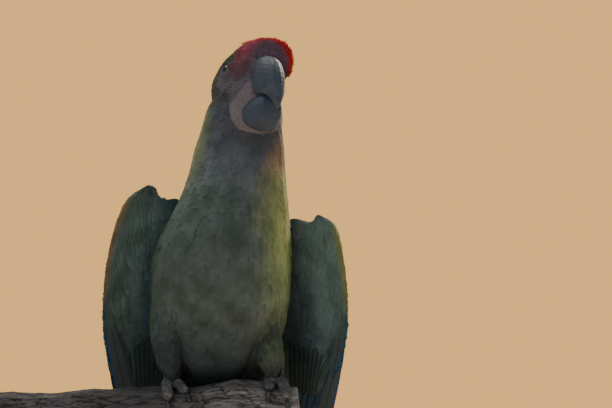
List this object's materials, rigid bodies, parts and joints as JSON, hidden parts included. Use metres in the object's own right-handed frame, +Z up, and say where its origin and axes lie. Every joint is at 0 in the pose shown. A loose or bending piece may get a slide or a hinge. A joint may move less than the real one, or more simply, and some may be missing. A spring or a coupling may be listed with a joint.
{
  "type": "military macaw on a display perch",
  "caption": "Life-size still model of a green macaw with a red forehead and half-open hanging wings, gripping a cut log on a rod stand.",
  "frame": {"origin": "middle of the stand base's contact plane straight below the point between the bird's feet", "axes": "+Z up, -Y the way the bird's breast faces, +X towards the bird's own left wing"},
  "size_m": [0.3535, 0.25, 0.7012],
  "materials": {
    "plumage_green": "matte feathers",
    "plumage_flight": "soft sheen of long feathers",
    "plumage_tail": "soft sheen of long feathers",
    "eye": "wet gloss",
    "horn": "satin horn",
    "foot_skin": "dry scaly skin",
    "bark": "rough bark",
    "board": "satin varnish",
    "steel": "brushed"
  },
  "bodies": {
    "root": {"head": "plumage_green", "neck": "plumage_green", "trunk": "plumage_green", "tail": "plumage_tail", "bill_upper": "horn", "bill_lower": "horn", "eye_left": "eye", "eye_right": "eye", "perch_log": "bark", "stand_base": "board", "stand_rod_1": "steel", "stand_rod_2": "steel", "wing_left": "plumage_green", "wing_left_secondaries": "plumage_flight", "wing_left_primaries": "plumage_flight", "leg_left": "plumage_green", "foot_left": "foot_skin", "claw_left_outer_front": "horn", "claw_left_inner_front": "horn", "claw_left_outer_back": "horn", "claw_left_inner_back": "horn", "wing_right": "plumage_green", "wing_right_secondaries": "plumage_flight", "wing_right_primaries": "plumage_flight", "leg_right": "plumage_green", "foot_right": "foot_skin", "claw_right_outer_front": "horn", "claw_right_inner_front": "horn", "claw_right_outer_back": "horn", "claw_right_inner_back": "horn"}
  },
  "joints": []
}
